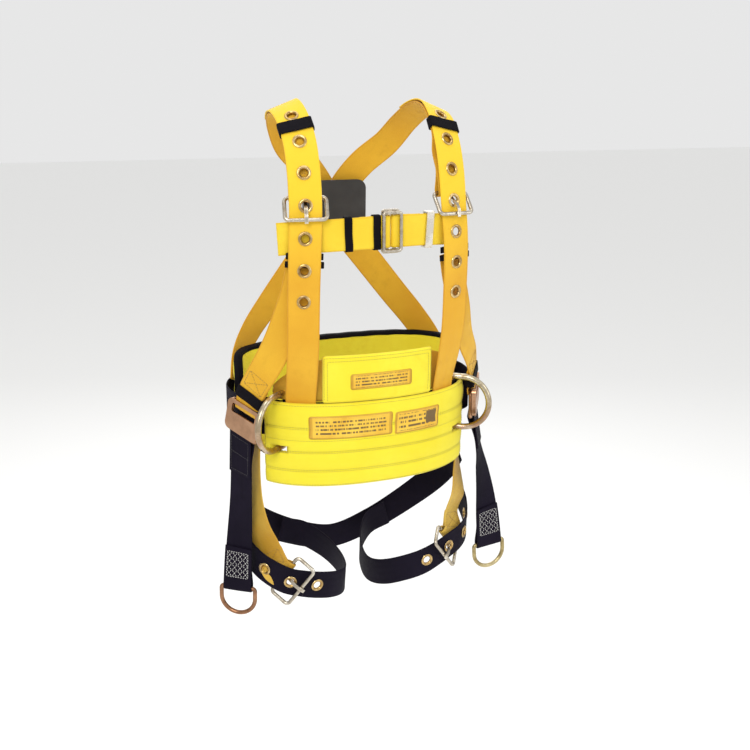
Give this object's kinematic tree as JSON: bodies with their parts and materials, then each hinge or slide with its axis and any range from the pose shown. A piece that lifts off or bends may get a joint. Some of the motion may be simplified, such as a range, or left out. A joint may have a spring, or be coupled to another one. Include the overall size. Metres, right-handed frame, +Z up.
{
  "type": "safety harness",
  "caption": "Full-body work harness with a padded belly belt, swinging D-rings, tongue-buckled shoulder and leg straps and hanging lift straps.",
  "frame": {"origin": "on the wearer's axis, at the middle height of the waist belt", "axes": "+Z up along the wearer, -Y to the wearer's front, +X to the wearer's left"},
  "size_m": [0.4838, 0.2888, 0.7744],
  "materials": {
    "yellow_webbing": "woven",
    "lemon_pad": "stitched fabric",
    "black_webbing": "woven",
    "brass_grommet": "satin",
    "zinc_steel": "zinc plated",
    "bronze_plate": "yellow-zinc plated",
    "gold_plate": "yellow-zinc plated",
    "orange_label": "printed cloth",
    "black_plastic": "matte"
  },
  "bodies": {
    "webbing": {"belly_pad": "lemon_pad", "belly_panel": "lemon_pad", "belt_buckle_frame": "zinc_steel", "belt_grommets": "brass_grommet", "belt_keeper": "black_webbing", "belt_web": "black_webbing", "chest_adjuster": "zinc_steel", "chest_buckle_inner": "zinc_steel", "chest_buckle_outer": "zinc_steel", "chest_strap_left": "yellow_webbing", "chest_strap_right": "yellow_webbing", "dorsal_pad": "black_plastic", "front_strap_L": "yellow_webbing", "front_strap_L_grommets": "brass_grommet", "front_strap_R": "yellow_webbing", "front_strap_R_grommets": "brass_grommet", "hip_buckle_frame_L": "bronze_plate", "hip_buckle_frame_R": "bronze_plate", "hip_buckle_plate_L": "bronze_plate", "hip_buckle_plate_R": "bronze_plate", "hip_keeper_L": "black_webbing", "hip_keeper_R": "black_webbing", "label_inspection": "orange_label", "label_main": "orange_label", "label_panel": "orange_label", "leg_buckle_frame_L": "zinc_steel", "leg_buckle_frame_R": "zinc_steel", "leg_riser_L": "yellow_webbing", "leg_riser_R": "yellow_webbing", "leg_strap_L": "black_webbing", "leg_strap_L_grommets": "brass_grommet", "leg_strap_R": "black_webbing", "leg_strap_R_grommets": "brass_grommet", "lumbar_pad": "lemon_pad", "seat_strap": "black_webbing", "shoulder_buckle_frame_L": "zinc_steel", "shoulder_buckle_frame_R": "zinc_steel", "shoulder_keeper_L": "black_webbing", "shoulder_keeper_R": "black_webbing", "shoulder_strap_L": "yellow_webbing", "shoulder_strap_R": "yellow_webbing", "side_strap_L": "yellow_webbing", "side_strap_R": "yellow_webbing"},
    "hip_ring_L": {"hip_d_ring_L": "gold_plate"},
    "lift_strap_L": {"lift_strap_L": "black_webbing"},
    "lift_ring_L": {"lift_d_ring_L": "gold_plate"},
    "shoulder_tongue_L": {"shoulder_buckle_tongue_L": "zinc_steel"},
    "leg_tongue_L": {"leg_buckle_tongue_L": "zinc_steel"},
    "hip_ring_R": {"hip_d_ring_R": "bronze_plate"},
    "lift_strap_R": {"lift_strap_R": "black_webbing"},
    "lift_ring_R": {"lift_d_ring_R": "bronze_plate"},
    "shoulder_tongue_R": {"shoulder_buckle_tongue_R": "zinc_steel"},
    "leg_tongue_R": {"leg_buckle_tongue_R": "zinc_steel"},
    "dorsal_ring": {"dorsal_d_ring": "bronze_plate"},
    "belt_tongue": {"belt_buckle_tongue": "zinc_steel"},
    "chest_keeper_outer": {"chest_keeper_outer": "black_webbing"},
    "chest_keeper_inner": {"chest_keeper_inner": "black_webbing"}
  },
  "joints": [
    {"name": "dorsal_ring_swing", "type": "hinge", "parent": "webbing", "child": "dorsal_ring", "pos_m": [0, 0.109, 0.268], "axis": [1, 0, 0], "range_deg": [0, 85]},
    {"name": "hip_ring_swing_L", "type": "hinge", "parent": "webbing", "child": "hip_ring_L", "pos_m": [0.12846, -0.05761, -0.011], "axis": [0, 0, 1], "range_deg": [-20, 0]},
    {"name": "lift_strap_swing_L", "type": "hinge", "parent": "webbing", "child": "lift_strap_L", "pos_m": [0.18926, -0.0336, -0.0407], "axis": [-0.4935, -0.8381, -0.2324], "range_deg": [0, 50]},
    {"name": "lift_ring_swing_L", "type": "hinge", "parent": "lift_strap_L", "child": "lift_ring_L", "pos_m": [0.21778, -0.05801, -0.27128], "axis": [-0.9949, -0.0497, -0.0878], "range_deg": [-60, 60]},
    {"name": "shoulder_tongue_lift_L", "type": "hinge", "parent": "webbing", "child": "shoulder_tongue_L", "pos_m": [0.1074, -0.09571, 0.31683], "axis": [0.9719, 0.2344, -0.0197], "range_deg": [-5, 0]},
    {"name": "leg_tongue_lift_L", "type": "hinge", "parent": "webbing", "child": "leg_tongue_L", "pos_m": [0.13387, -0.07492, -0.24071], "axis": [0.5823, 0.2094, -0.7855], "range_deg": [-4, 0]},
    {"name": "hip_ring_swing_R", "type": "hinge", "parent": "webbing", "child": "hip_ring_R", "pos_m": [-0.12846, -0.05761, -0.011], "axis": [0, 0, -1], "range_deg": [-15, 0]},
    {"name": "lift_strap_swing_R", "type": "hinge", "parent": "webbing", "child": "lift_strap_R", "pos_m": [-0.18919, -0.03364, -0.04041], "axis": [-0.4935, 0.8381, 0.2324], "range_deg": [0, 50]},
    {"name": "lift_ring_swing_R", "type": "hinge", "parent": "lift_strap_R", "child": "lift_ring_R", "pos_m": [-0.20826, -0.05785, -0.27649], "axis": [-0.8334, 0.5523, 0.0202], "range_deg": [-60, 60]},
    {"name": "shoulder_tongue_lift_R", "type": "hinge", "parent": "webbing", "child": "shoulder_tongue_R", "pos_m": [-0.1074, -0.09571, 0.31683], "axis": [0.9719, -0.2344, 0.0197], "range_deg": [-5, 0]},
    {"name": "leg_tongue_lift_R", "type": "hinge", "parent": "webbing", "child": "leg_tongue_R", "pos_m": [-0.142, -0.08381, -0.25311], "axis": [0.6035, -0.1325, 0.7863], "range_deg": [-4, 0]},
    {"name": "belt_tongue_lift", "type": "hinge", "parent": "webbing", "child": "belt_tongue", "pos_m": [0.02987, 0.11351, -0.011], "axis": [0, 0, 1], "range_deg": [-5, 0]},
    {"name": "chest_keeper_outer_slide", "type": "slide", "parent": "webbing", "child": "chest_keeper_outer", "axis": [0.9896, -0.1371, 0.0426], "range_m": [-0.006, 0.006]},
    {"name": "chest_keeper_inner_slide", "type": "slide", "parent": "webbing", "child": "chest_keeper_inner", "axis": [0.999, -0.0375, 0.0248], "range_m": [-0.006, 0]}
  ]
}
